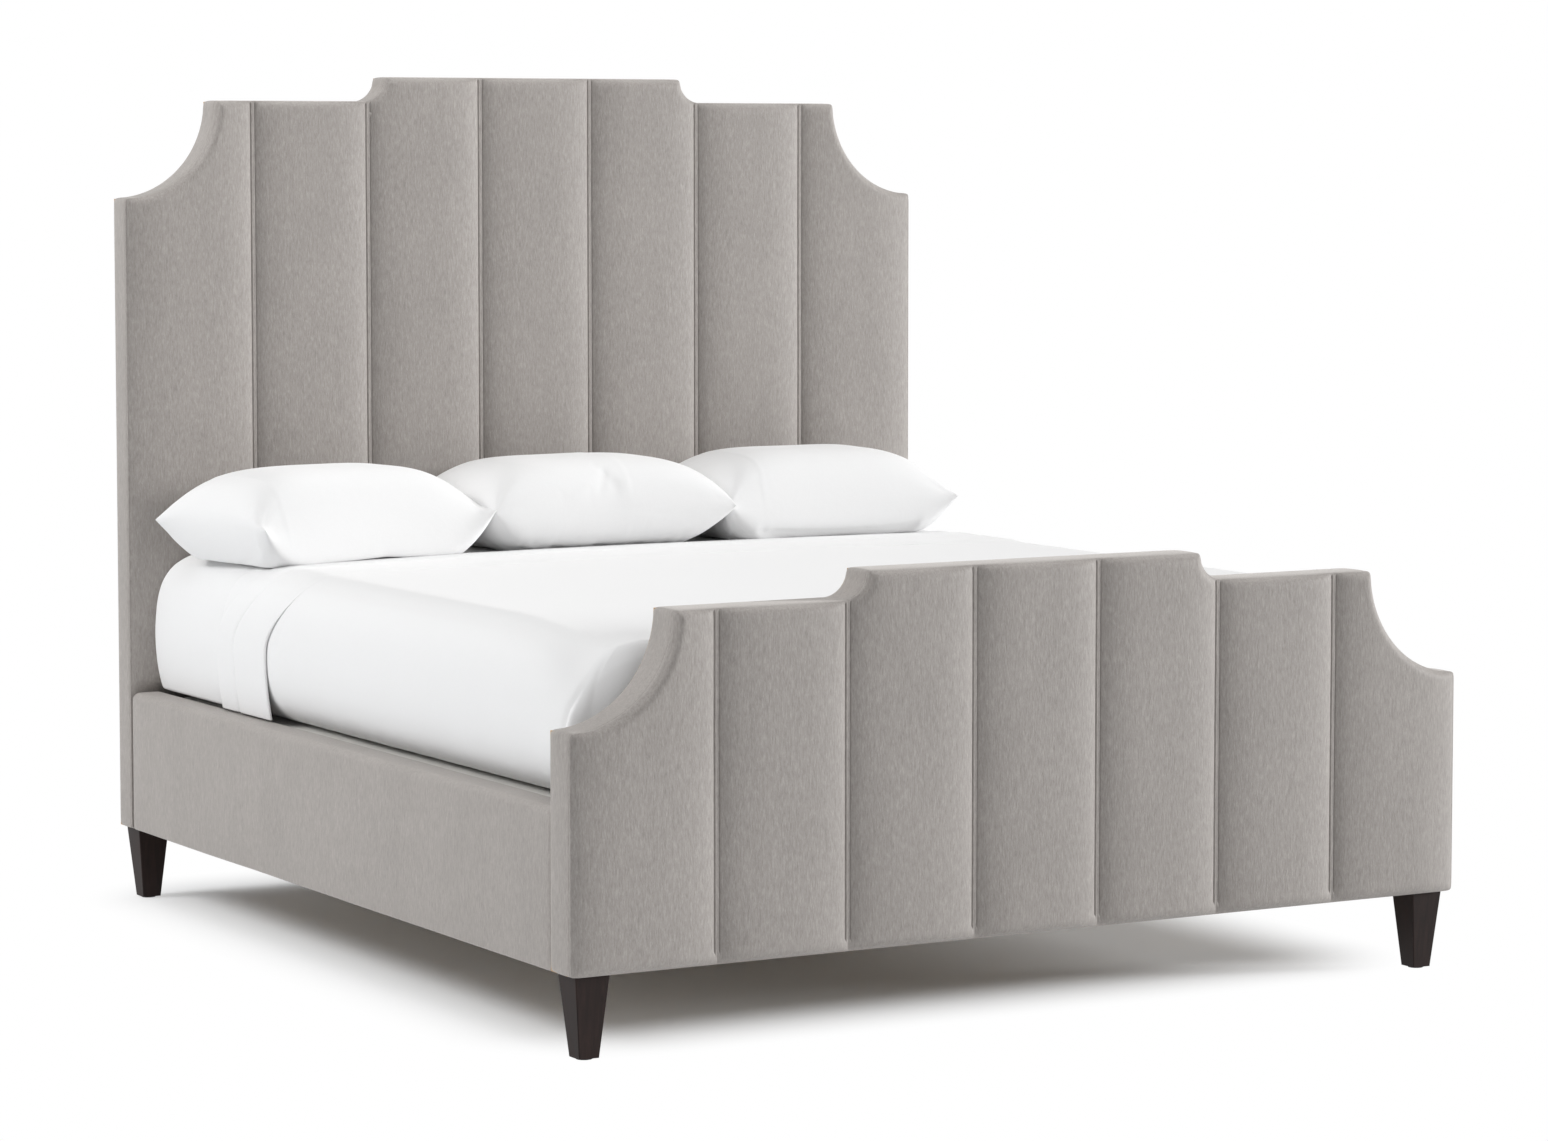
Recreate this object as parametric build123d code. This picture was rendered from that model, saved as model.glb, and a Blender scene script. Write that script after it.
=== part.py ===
from build123d import *
import os
from collections import namedtuple
from math import asin, cos, degrees, radians, sin, sqrt

# Upholstered king bed with a stepped, channel-padded headboard and footboard.
# Millimetres. +X is the bed's width, +Y points to the headboard, +Z is up.
# The origin is on the floor, under the middle of the bed.

# Mattress and box spring
mattress_width = 1930.0
mattress_length = 2032.0
mattress_height = 325.0
mattress_corner = 110.0
mattress_corner_ease = 2.0
mattress_side_bulge = 20.0
mattress_end_bulge = 8.0
mattress_tuck = 14.0
mattress_round = 110.0
box_spring_height = 230.0
box_spring_split = 4.0
box_spring_edge = 18.0

# Bedding
sheet_thickness = 2.0
coverlet_thickness = 8.0
cuff_thickness = 3.0
cuff_from_head = 650.0
cuff_width = 200.0
cuff_overhang = 20.0
cuff_above_rail = 8.0
pillow_length = 608.0
pillow_depth = 440.0
pillow_height = 203.0
pillow_seam_height = 97.0
pillow_waist = 14.0
# From the seam to the crest: shares of the height, length and depth, and how the sides bow.
pillow_levels = [
    (0.0, 1.0, 1.0, -1.0),
    (0.38, 0.89, 0.84, 0.2),
    (0.70, 0.74, 0.63, 1.0),
    (1.0, 0.42, 0.26, 1.2),
]
# Pillow places: across the bed, distance from the headboard, and turn.
left_pillow = (-690.0, 295.0, 9.0)
centre_pillow = (-46.0, 252.0, 0.0)
right_pillow = (572.0, 249.0, -1.0)

# Boards: outline, seams and layers
headboard_top = 1888.0
footboard_top = 908.0
headboard_thickness = 76.0
footboard_thickness = 88.0
leg_height = 165.0
scallop_radius = 222.0
notch_radius = 56.5
plateau_width = 782.0
channel_count = 7
channel_pitch = 291.0
channel_crown = 14.0
crown_margin = 30.0
crown_above_rail = 8.0
seam_wall = 2.0
fabric = 2.0
pad_thickness = 16.0
panel_thickness = 12.0
post_width = 110.0
header_drop = 60.0
bottom_rail_height = 120.0

# Side rails
rail_thickness = 66.0
rail_height = 316.0
rail_inset = 2.0
rail_round = 18.0
rail_edge = 5.0
rail_board_thickness = 42.0
rail_top_padding = 15.0

# Mattress support
slat_count = 7
slat_width = 90.0
slat_thickness = 20.0
slat_rise = 75.0
slat_end_gap = 2.0
cleat_width = 25.0
cleat_height = 40.0
cleat_end_gap = 80.0
beam_width = 50.0
beam_height = 50.0
hanger_thickness = 3.0
hanger_length = 60.0
hanger_flange_width = 110.0
hanger_flange_rise = 45.0
hanger_bolt_spacing = 70.0
hanger_bolt_rise = 24.0
support_leg_size = 50.0
support_leg_spread = 560.0
leveler_foot_radius = 20.0
leveler_foot_height = 10.0
leveler_foot_edge = 2.0
leveler_exposed = 14.0
leveler_stem_radius = 5.0
leveler_stem_length = 55.0

# Corner legs
leg_top_size = 74.0
leg_bottom_size = 43.0
leg_edge = 2.0
leg_side_inset = 54.5
front_leg_setback = 52.0
rear_leg_setback = 38.0
glide_radius = 16.0
glide_height = 3.0

# Hardware
bracket_thickness = 3.0
bracket_height = 140.0
bracket_rise = 30.0
bracket_on_rail = 70.0
bracket_on_board = 45.0
bracket_bolt_out = 26.0
bracket_bolt_margin = 30.0
bolt_radius = 4.0
bolt_head_radius = 7.0
bolt_head_height = 5.0
board_bolt_length = 60.0
rail_bolt_length = 40.0
leg_bolt_reach = 40.0

# Clearances
side_clearance = 9.5
head_clearance = 30.0
foot_clearance = 46.0
fabric_fit = 0.3
bolt_fit = 0.1
running_fit = 0.05
stem_end_gap = 3.0

# Planes worked out from the driving dimensions
bed_width = mattress_width + 2 * (side_clearance + rail_thickness + rail_inset)
half_width = bed_width / 2
inner_length = mattress_length + head_clearance + foot_clearance
total_length = headboard_thickness + inner_length + footboard_thickness + channel_crown
y_back = total_length / 2
y_head = y_back - headboard_thickness
y_foot = y_head - inner_length
y_front = y_foot - footboard_thickness
rail_outer = half_width - rail_inset
rail_inner = rail_outer - rail_thickness
rail_top = leg_height + rail_height
slat_top = leg_height + slat_rise
cleat_top = slat_top - slat_thickness
beam_bottom = cleat_top - beam_height
mattress_bottom = slat_top + box_spring_height
mattress_top = mattress_bottom + mattress_height
mattress_y = y_head - head_clearance - mattress_length / 2
sheet_inside = fabric_fit
sheet_outside = sheet_inside + sheet_thickness
coverlet_inside = sheet_outside + fabric_fit
coverlet_outside = coverlet_inside + coverlet_thickness
cuff_inside = coverlet_outside + fabric_fit
cuff_outside = cuff_inside + cuff_thickness
bedding_top = mattress_top + cuff_outside
pillow_seat = mattress_top + sheet_outside + fabric_fit
seams = [(i - channel_count / 2) * channel_pitch for i in range(1, channel_count)]
channel_edges = [-half_width] + seams + [half_width]
bracket_bottom = slat_top + bracket_rise
support_leg_bottom = leveler_foot_height + leveler_exposed
leg_x = half_width - leg_side_inset

# A board is built from its back, towards +Y, to its padded front, towards -Y.
Board = namedtuple("Board", "name back front top crown_bottom leg_y")
headboard = Board(
    "headboard", y_back, y_head, headboard_top, rail_top + crown_above_rail, y_back - rear_leg_setback
)
footboard = Board(
    "footboard", y_foot, y_front, footboard_top, leg_height, y_front + front_leg_setback
)
nodes = {}


def block(x0, x1, y0, y1, z0, z1):
    """A box between two corners."""
    centre = Pos((x0 + x1) / 2, (y0 + y1) / 2, (z0 + z1) / 2)
    return centre * Box(x1 - x0, y1 - y0, z1 - z0)


def rod(start, direction, length, radius):
    """A round bar from start along direction."""
    return extrude(Plane(start, z_dir=direction) * Circle(radius), amount=length)


def mirrored(solid):
    """The same piece on the other side of the bed."""
    return mirror(solid, about=Plane.YZ)


def outline(board, inset=0.0, bottom=leg_height):
    """A board's stepped front view, drawn in by inset on every side."""
    upper = board.top - notch_radius
    scallop = scallop_radius + inset
    scallop_reach = sqrt(scallop**2 - inset**2)
    scallop_slant = scallop * sin(radians(45))
    notch = notch_radius + inset
    notch_centre = plateau_width / 2 + notch_radius
    notch_reach = sqrt(notch**2 - inset**2)
    notch_turn = radians(45 - degrees(asin(inset / notch)) / 2)
    base = (half_width - inset, bottom + inset)
    shoulder = (half_width - inset, upper - scallop_reach)
    scallop_mid = (half_width - scallop_slant, upper - scallop_slant)
    step = (half_width - scallop_reach, upper - inset)
    notch_foot = (notch_centre, upper - inset)
    notch_mid = (notch_centre - notch * sin(notch_turn), board.top - notch * cos(notch_turn))
    crest = (notch_centre - notch_reach, board.top - inset)
    half = [
        Line((0, bottom + inset), base),
        Line(base, shoulder),
        ThreePointArc(shoulder, scallop_mid, step),
        Line(step, notch_foot),
        ThreePointArc(notch_foot, notch_mid, crest),
        Line(crest, (0, board.top - inset)),
    ]
    other_half = [mirror(edge, about=Plane.YZ) for edge in half]
    return make_face(half + other_half)


def at_depth(y, face):
    """A front view placed at a depth along the bed."""
    return Plane.XZ.offset(-y) * face


def plate(face, back, front):
    """A front view made solid between two depths."""
    return extrude(at_depth(back, face), amount=back - front)


def panel_face(board):
    """Depth of the plywood's face, under the padding."""
    return board.front + fabric + pad_thickness


def crowned_block(board, inset):
    """The padded front as one block: channels crowned across, fading out at the outline."""
    back = panel_face(board)
    face = board.front + inset
    slab = plate(outline(board, inset), back, face)
    low = at_depth(face, outline(board, inset, board.crown_bottom))
    high = at_depth(face - channel_crown, outline(board, inset + crown_margin, board.crown_bottom))
    swell = loft([low, high], ruled=True)
    ridges = [
        ThreePointArc((a, face), ((a + b) / 2, face - channel_crown), (b, face))
        for a, b in zip(channel_edges, channel_edges[1:])
    ]
    closing = Polyline((half_width, face), (half_width, back), (-half_width, back), (-half_width, face))
    prism = extrude(make_face(ridges + [closing]), amount=board.top, dir=(0, 0, 1))
    return (slab + swell) & prism


def channel_strip(board, index, side_gap):
    """The space of one channel between its two seams."""
    return block(
        channel_edges[index] + side_gap,
        channel_edges[index + 1] - side_gap,
        board.front - channel_crown,
        panel_face(board),
        0,
        board.top,
    )


def make_upholstery(board):
    """The sewn cover, with its border strip, and the seven foam pads inside it."""
    face = panel_face(board)
    border = plate(outline(board), board.back, face) - plate(outline(board, fabric), board.back, face)
    cover = crowned_block(board, 0.0) + border
    hollow = crowned_block(board, fabric)
    foam = crowned_block(board, fabric + fabric_fit)
    for index in range(channel_count):
        cover = cover - (hollow & channel_strip(board, index, seam_wall / 2))
        pad = foam & channel_strip(board, index, seam_wall / 2 + fabric_fit)
        nodes[f"{board.name}_pad_{index + 1}"] = pad
    nodes[f"{board.name}_cover"] = cover


def make_board_frame(board):
    """Timber posts, header and bottom rail, with a plywood face and a back cloth."""
    frame_back = board.back - fabric
    frame_front = panel_face(board) + panel_thickness
    core = outline(board, fabric + fabric_fit)
    inside = half_width - fabric - fabric_fit - post_width
    foot = leg_height + fabric + fabric_fit
    shoulder = board.top - notch_radius - scallop_radius
    timber = plate(core, frame_back, frame_front)
    right_post = timber & block(inside, half_width, frame_front, frame_back, 0, board.top)
    nodes[f"{board.name}_right_post"] = right_post
    nodes[f"{board.name}_left_post"] = mirrored(right_post)
    nodes[f"{board.name}_header"] = timber & block(
        -inside, inside, frame_front, frame_back, shoulder - header_drop, board.top
    )
    nodes[f"{board.name}_bottom_rail"] = block(
        -inside, inside, frame_front, frame_back, foot, foot + bottom_rail_height
    )
    nodes[f"{board.name}_panel"] = plate(core, frame_front, panel_face(board))
    nodes[f"{board.name}_back_cover"] = plate(core, board.back, frame_back)


def rail_section(inset):
    """Cross-section of the right rail, its upper outer edge well rounded."""
    x0 = rail_inner + inset
    x1 = rail_outer - inset
    z0 = leg_height + inset
    z1 = rail_top - inset
    face = make_face(Polyline((x0, z0), (x1, z0), (x1, z1), (x0, z1), close=True))
    crest = face.vertices().sort_by_distance((x1, z1))[0]
    face = fillet(crest, rail_round - inset)
    corners = [face.vertices().sort_by_distance(p)[0] for p in ((x0, z0), (x1, z0), (x0, z1))]
    return fillet(corners, rail_edge - inset)


def make_rails():
    """Padded side rails: a board, foam outside and on top, and a sleeve of fabric."""
    inset = fabric + fabric_fit
    sleeve = plate(rail_section(0), y_head, y_foot) - plate(rail_section(fabric), y_head, y_foot)
    core = plate(rail_section(inset), y_head, y_foot)
    board_space = block(
        rail_inner,
        rail_inner + inset + rail_board_thickness,
        y_foot,
        y_head,
        leg_height,
        rail_top - inset - rail_top_padding,
    )
    pieces = {"cover": sleeve, "board": core & board_space, "padding": core - board_space}
    for name, piece in pieces.items():
        nodes[f"right_rail_{name}"] = piece
        nodes[f"left_rail_{name}"] = mirrored(piece)


def make_slats():
    """Cross slats on a cleat along each rail."""
    cleat = block(
        rail_inner - cleat_width,
        rail_inner,
        y_foot + cleat_end_gap,
        y_head - cleat_end_gap,
        cleat_top - cleat_height,
        cleat_top,
    )
    nodes["rail_cleats"] = Compound([cleat, mirrored(cleat)])
    reach = rail_inner - slat_end_gap
    first = y_foot + cleat_end_gap + slat_width / 2
    step = (inner_length - 2 * cleat_end_gap - slat_width) / (slat_count - 1)
    slats = [
        block(
            -reach,
            reach,
            first + i * step - slat_width / 2,
            first + i * step + slat_width / 2,
            cleat_top,
            slat_top,
        )
        for i in range(slat_count)
    ]
    nodes["slats"] = Compound(slats)


def make_beam():
    """Centre beam under the slats, in a steel saddle at each end."""
    half = beam_width / 2
    nodes["centre_beam"] = block(
        -half, half, y_foot + hanger_thickness, y_head - hanger_thickness, beam_bottom, cleat_top
    )
    hangers = []
    for wall, inward in ((y_head, -1), (y_foot, 1)):
        near, far = sorted((wall, wall + inward * hanger_length))
        tray = block(
            -half - hanger_thickness,
            half + hanger_thickness,
            near,
            far,
            beam_bottom - hanger_thickness,
            cleat_top,
        )
        near, far = sorted((wall, wall + inward * hanger_thickness))
        flange = block(
            -hanger_flange_width / 2,
            hanger_flange_width / 2,
            near,
            far,
            beam_bottom - hanger_thickness,
            cleat_top + hanger_flange_rise,
        )
        slot = block(-half, half, y_foot, y_head, beam_bottom, cleat_top)
        hangers.append((tray - slot) + flange)
    nodes["beam_hangers"] = Compound(hangers)


def make_support_legs():
    """Two legs under the beam, each on a screw leveler."""
    half = support_leg_size / 2
    foot = extrude(Circle(leveler_foot_radius), amount=leveler_foot_height)
    foot = chamfer(foot.edges().sort_by(Axis.Z)[-1], leveler_foot_edge)
    stem_hole = support_leg_bottom, leveler_stem_length - leveler_exposed + stem_end_gap
    legs = []
    for name, y in (("front", -support_leg_spread / 2), ("rear", support_leg_spread / 2)):
        leg = block(-half, half, y - half, y + half, support_leg_bottom, beam_bottom)
        socket = rod((0, y, stem_hole[0]), (0, 0, 1), stem_hole[1], leveler_stem_radius + running_fit)
        legs.append(leg - socket)
        stem = rod((0, y, leveler_foot_height), (0, 0, 1), leveler_stem_length, leveler_stem_radius)
        nodes[f"{name}_leveler"] = Pos(0, y, 0) * foot + stem
    nodes["support_legs"] = Compound(legs)


def make_corner_legs():
    """Tapered wooden legs under the posts, each on a nail-on glide."""
    glides = []
    for board, end in ((headboard, "rear"), (footboard, "front")):
        low = Pos(leg_x, board.leg_y, glide_height) * Rectangle(leg_bottom_size, leg_bottom_size)
        high = Pos(leg_x, board.leg_y, leg_height) * Rectangle(leg_top_size, leg_top_size)
        leg = loft([low, high], ruled=True)
        leg = fillet(leg.edges().group_by(Axis.Z)[1], leg_edge)
        nodes[f"{end}_right_leg"] = leg
        nodes[f"{end}_left_leg"] = mirrored(leg)
        for x in (leg_x, -leg_x):
            glides.append(rod((x, board.leg_y, 0), (0, 0, 1), glide_height, glide_radius))
    nodes["leg_glides"] = Compound(glides)


def drill(names, holes):
    """Bolt holes through the pieces that the bolts hold."""
    for name in names:
        for hole in holes:
            nodes[name] = nodes[name] - hole


def bolt(seat, direction, length):
    """A hex bolt with the underside of its head at seat."""
    shank = rod(seat, direction, length, bolt_radius)
    head_plane = Plane(seat, z_dir=[-d for d in direction])
    return shank + extrude(head_plane * RegularPolygon(bolt_head_radius, 6), amount=bolt_head_height)


def bolt_hole(seat, direction, length):
    """Clearance hole for a bolt."""
    return rod(seat, direction, length + bolt_fit, bolt_radius + bolt_fit)


def make_corner_hardware():
    """Angle brackets that tie the rails to the boards, and all the bolts of the frame."""
    brackets = []
    board_bolts = {headboard: [], footboard: []}
    rail_bolts = []
    top = bracket_bottom + bracket_height
    heights = (bracket_bottom + bracket_bolt_margin, top - bracket_bolt_margin)
    for board, wall, inward in ((headboard, y_head, -1), (footboard, y_foot, 1)):
        seat_y = wall + inward * bracket_thickness
        near, far = sorted((wall, wall + inward * bracket_on_rail))
        on_rail = block(rail_inner - bracket_thickness, rail_inner, near, far, bracket_bottom, top)
        near, far = sorted((wall, seat_y))
        on_board = block(rail_inner - bracket_on_board, rail_inner, near, far, bracket_bottom, top)
        bracket = on_rail + on_board
        rail_bolt_y = wall + inward * (bracket_on_rail - bracket_bolt_out)
        for side in (1, -1):
            brackets.append(bracket if side > 0 else mirrored(bracket))
            for z in heights:
                board_seat = (side * (rail_inner - bracket_bolt_out), seat_y, z)
                board_bolts[board].append((board_seat, (0, -inward, 0)))
                rail_seat = (side * (rail_inner - bracket_thickness), rail_bolt_y, z)
                rail_bolts.append((rail_seat, (side, 0, 0)))
            hanger_x = side * hanger_bolt_spacing / 2
            hanger_seat = (hanger_x, wall + inward * hanger_thickness, cleat_top + hanger_bolt_rise)
            board_bolts[board].append((hanger_seat, (0, -inward, 0)))
    nodes["corner_brackets"] = Compound(brackets)
    nodes["board_bolts"] = Compound(
        [bolt(*place, board_bolt_length) for places in board_bolts.values() for place in places]
    )
    nodes["rail_bolts"] = Compound([bolt(*place, rail_bolt_length) for place in rail_bolts])
    middle = channel_count // 2 + 1
    for board, places in board_bolts.items():
        holes = [bolt_hole(*place, board_bolt_length) for place in places]
        held = ["cover", "back_cover", "panel", "left_post", "right_post", "bottom_rail"]
        held += [f"pad_{i}" for i in (1, middle, channel_count)]
        drill([f"{board.name}_{piece}" for piece in held], holes)
        drill(["corner_brackets", "beam_hangers"], holes)
    for side, name in ((1, "right"), (-1, "left")):
        holes = [bolt_hole(*place, rail_bolt_length) for place in rail_bolts if place[1][0] == side]
        drill([f"{name}_rail_cover", f"{name}_rail_board", f"{name}_rail_padding", "corner_brackets"], holes)


def make_leg_bolts():
    """Headless bolts that hold the legs to the posts and the support legs to the beam."""
    up = (0, 0, 1)
    length = 2 * leg_bolt_reach
    bolts = []
    for board, end in ((headboard, "rear"), (footboard, "front")):
        for x, side in ((leg_x, "right"), (-leg_x, "left")):
            start = (x, board.leg_y, leg_height - leg_bolt_reach)
            bolts.append(rod(start, up, length, bolt_radius))
            held = [f"{end}_{side}_leg", f"{board.name}_cover", f"{board.name}_{side}_post"]
            drill(held, [bolt_hole(start, up, length)])
    for y in (-support_leg_spread / 2, support_leg_spread / 2):
        start = (0, y, beam_bottom - leg_bolt_reach)
        bolts.append(rod(start, up, length, bolt_radius))
        drill(["support_legs", "centre_beam"], [bolt_hole(start, up, length)])
    nodes["leg_bolts"] = Compound(bolts)


def make_box_spring():
    """Two upholstered box springs, side by side."""
    width = (mattress_width - box_spring_split) / 2
    half = Box(width, mattress_length, box_spring_height)
    half = fillet(half.edges(), box_spring_edge)
    x = (width + box_spring_split) / 2
    z = slat_top + box_spring_height / 2
    nodes["box_springs"] = Compound([Pos(side * x, mattress_y, z) * half for side in (-1, 1)])


def mattress_profile(half, bulge, grow):
    """Upright section of the mattress: drawn in below, bulging at the side, rounded over on top."""
    side = half + grow
    foot = (side - mattress_tuck, mattress_bottom)
    shoulder = (side, mattress_top - mattress_round)
    belly = (side + bulge, (foot[1] + shoulder[1]) / 2)
    slant = (mattress_round + grow) * sin(radians(45))
    roll = (half - mattress_round + slant, mattress_top - mattress_round + slant)
    crest = (half - mattress_round, mattress_top + grow)
    right = [
        Line((0, mattress_bottom), foot),
        ThreePointArc(foot, belly, shoulder),
        ThreePointArc(shoulder, roll, crest),
        Line(crest, (0, mattress_top + grow)),
    ]
    left = [mirror(edge, about=Plane.YZ) for edge in right]
    return make_face(right + left)


def mattress_form(grow):
    """The mattress, grown all over by a layer's thickness."""
    half_length = mattress_length / 2
    across = mattress_profile(mattress_width / 2, mattress_side_bulge, grow)
    along = mattress_profile(half_length, mattress_end_bulge, grow)
    reach = mattress_y + half_length + mattress_end_bulge + mattress_corner_ease + grow
    long_prism = plate(across, reach, 2 * mattress_y - reach)
    cross_prism = extrude(Plane.YZ.offset(-half_width) * Pos(mattress_y, 0) * along, amount=bed_width)
    ease = mattress_corner_ease + grow
    plan = RectangleRounded(
        mattress_width + 2 * (mattress_side_bulge + ease),
        mattress_length + 2 * (mattress_end_bulge + ease),
        mattress_corner + grow,
    )
    corners = extrude(Pos(0, mattress_y, mattress_bottom) * plan, amount=mattress_height + grow)
    return long_prism & cross_prism & corners


def bedding_layer(inside, outside, y0, y1, z0):
    """A layer of cloth over the mattress, between two places along the bed and down to z0."""
    layer = mattress_form(outside) - mattress_form(inside)
    return layer & block(-half_width, half_width, y0, y1, z0, bedding_top)


def make_bedding():
    """The mattress with its fitted sheet, coverlet and turned-down top sheet."""
    cuff_edge = y_head - cuff_from_head
    cuff_end = cuff_edge + cuff_width
    nodes["mattress"] = mattress_form(0.0)
    nodes["fitted_sheet"] = bedding_layer(sheet_inside, sheet_outside, y_foot, y_head, mattress_bottom)
    nodes["coverlet"] = bedding_layer(
        coverlet_inside, coverlet_outside, y_foot, cuff_end - cuff_overhang, mattress_bottom
    )
    nodes["top_sheet"] = bedding_layer(
        cuff_inside, cuff_outside, cuff_edge, cuff_end, rail_top + cuff_above_rail
    )


def pillow_outline(z, long_share, short_share, bow_share):
    """A level section of a pillow: four bowed sides between its corners."""
    a = pillow_length / 2 * long_share
    b = pillow_depth / 2 * short_share
    bow = pillow_waist * bow_share
    sides = [
        ThreePointArc((-a, -b), (0, -b - bow), (a, -b)),
        ThreePointArc((a, -b), (a + bow, 0), (a, b)),
        ThreePointArc((a, b), (0, b + bow), (-a, b)),
        ThreePointArc((-a, b), (-a - bow, 0), (-a, -b)),
    ]
    return Pos(0, 0, z) * make_face(sides)


def make_pillows():
    """Three pillows in a row, pointed at the corners and drawn in between them."""
    rise = pillow_height - pillow_seam_height
    top = loft([pillow_outline(pillow_seam_height + t * rise, *share) for t, *share in pillow_levels])
    base = loft([pillow_outline(pillow_seam_height * (1 - t), *share) for t, *share in pillow_levels])
    form = top + base
    places = {"left": left_pillow, "centre": centre_pillow, "right": right_pillow}
    for name, (x, from_head, turn) in places.items():
        nodes[f"{name}_pillow"] = Pos(x, y_head - from_head, pillow_seat) * Rot(0, 0, turn) * form


for each_board in (headboard, footboard):
    make_upholstery(each_board)
    make_board_frame(each_board)
make_rails()
make_slats()
make_beam()
make_support_legs()
make_corner_legs()
make_corner_hardware()
make_leg_bolts()
make_box_spring()
make_bedding()
make_pillows()

os.makedirs("parts", exist_ok=True)
for node_name, solid in nodes.items():
    export_step(solid, f"parts/{node_name}.step")
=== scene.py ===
"""Looks of an upholstered king bed, built around its packed construction. Metres, +Z up, head at +Y."""

import math
from collections import namedtuple

import bmesh
import bpy
import numpy as np
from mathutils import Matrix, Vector, noise
from mathutils.geometry import delaunay_2d_cdt


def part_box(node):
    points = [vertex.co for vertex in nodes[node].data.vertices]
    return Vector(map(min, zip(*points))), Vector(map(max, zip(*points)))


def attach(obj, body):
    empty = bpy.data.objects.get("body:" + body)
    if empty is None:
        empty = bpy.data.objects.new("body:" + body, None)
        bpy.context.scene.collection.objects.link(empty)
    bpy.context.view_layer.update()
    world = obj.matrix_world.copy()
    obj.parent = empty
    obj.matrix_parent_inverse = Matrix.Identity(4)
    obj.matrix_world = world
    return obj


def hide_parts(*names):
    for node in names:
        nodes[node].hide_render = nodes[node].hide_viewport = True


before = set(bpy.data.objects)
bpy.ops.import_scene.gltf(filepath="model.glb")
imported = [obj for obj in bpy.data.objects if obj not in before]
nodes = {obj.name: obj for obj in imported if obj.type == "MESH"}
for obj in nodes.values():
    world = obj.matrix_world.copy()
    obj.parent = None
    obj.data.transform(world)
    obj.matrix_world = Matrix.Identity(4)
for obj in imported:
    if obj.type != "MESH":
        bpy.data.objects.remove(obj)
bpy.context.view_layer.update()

# Photograph
photo_width = 1548.0
photo_height = 1141.0
camera_place = (-4.9646, -8.7553, 1.7303)
camera_yaw = -29.77
camera_pitch = -4.41
focal_pixels = 4605.2
principal_row = 500.0
sensor_width = 36.0
sight_length = 200.0

# Boards: outline, and the mesh that follows it
scallop_radius = 0.222
notch_radius = 0.0565
plateau_width = 0.782
rim = 0.026
corner_leg = 0.006
corner_weight = 4.6
corner_points = 9
scallop_points = 42
notch_points = 16
row_step = 0.011
side_column_step = 0.020
side_columns = 8
inside_gap = 0.004
front_rings = (rim, 0.020, 0.015, 0.011, 0.008, 0.0055, 0.0036, 0.002, 0.0009, 0.0002)

# Boards: channels. A board's front plane lies channel_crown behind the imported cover's front, and the
# sewn cover swells out from it
channel_count = 7
channel_pitch = 0.291
channel_crown = 0.0145
swell = 0.0175
crown_margin = 0.020
crown_power = 3.1
margin_power = 2.2
headboard_crown_gap = 0.008
unevenness = 0.0008
uneven_grain = (5, 1, 4)

# Boards: the two lines of stitching at each seam, the strip between them and the seam round the edge,
# as its place, width and depth
seam_half_gap = 0.0055
groove_depth = 0.0025
groove_width = 0.0012
strip_rise = 0.0025
seam_roll_depth = 0.0030
seam_roll_width = 0.013
seam_top_gap = 0.003
seam_bottom_gap = 0.021
seam_fade = 0.005
seam_reach = 0.016
pucker_height = 0.0005
pucker_reach = 0.028
pucker_grain = (20, 1, 34)
edge_round = 0.0040
edge_groove = (0.0042, 0.0014, 0.0014)
near_seam = [0.0, 0.0014, 0.0028, 0.0040, 0.0048, 0.0055, 0.0062, 0.0070, 0.0082, 0.0105, 0.0145]
near_seam += [0.021, 0.030, 0.043, 0.060, 0.080, 0.102, 0.124]

# Boards: border strip, as depth behind the round front edge, share of the thickness or depth before
# the back, each with how far the outline is drawn in
border_front = [(0.0, 0.0), (0.0012, 0.0004), (0.0022, 0.0016), (0.0032, 0.0004), (0.006, 0.0)]
border_middle = [(0.35, -0.0006), (0.65, -0.0006)]
border_back = [(0.010, 0.0), (0.005, 0.0008), (0.0018, 0.0026), (0.0, 0.006)]
border_back += [(0.0, 0.013), (0.0016, 0.0145), (0.0, 0.016), (0.0, rim)]

# Side rails
rail_round = 0.018
rail_edge = 0.005
rail_swell = 0.0015
rail_unevenness = 0.0009
rail_grain = (2, 3.5, 7)
rail_end_reach = 0.05
rail_pinch = 0.0035
rail_pinch_reach = 0.005
rail_corner_points = 7
rail_flat_step = 0.03
rail_end_steps = [0.0, 0.0015, 0.0035, 0.006, 0.010, 0.016, 0.026]
rail_middle_start = 0.045
rail_middle_points = 60

# Bedding: upright sections of the made bed's side, as distance out from the top panel's edge and height
top_panel_half = 0.877
shoulder = [(0.000, 0.8030), (0.026, 0.7965), (0.050, 0.7860), (0.075, 0.7690), (0.098, 0.7370)]
shoulder += [(0.111, 0.6920), (0.116, 0.6350)]
tucked_section = shoulder + [(0.1145, 0.5900), (0.1080, 0.5530), (0.0940, 0.5200)]
tucked_section += [(0.0700, 0.4940), (0.0400, 0.4780), (0.0150, 0.4730)]
hanging_section = shoulder + [(0.1155, 0.5950), (0.1120, 0.5500), (0.1065, 0.5100), (0.1025, 0.4865)]
tucked_points = 46
hanging_points = 40
curve_steps = 20

# Bedding: plan of the made bed. Its foot and head stand out by a share of what its sides do
foot_share = 0.40
foot_reach = 0.024
head_share = 0.16
head_reach = 0.008
head_corner = 0.020
panel_corner = 0.022
corner_growth = 0.22
plan_corner_steps = 16
panel_edge_share = 0.6

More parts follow.
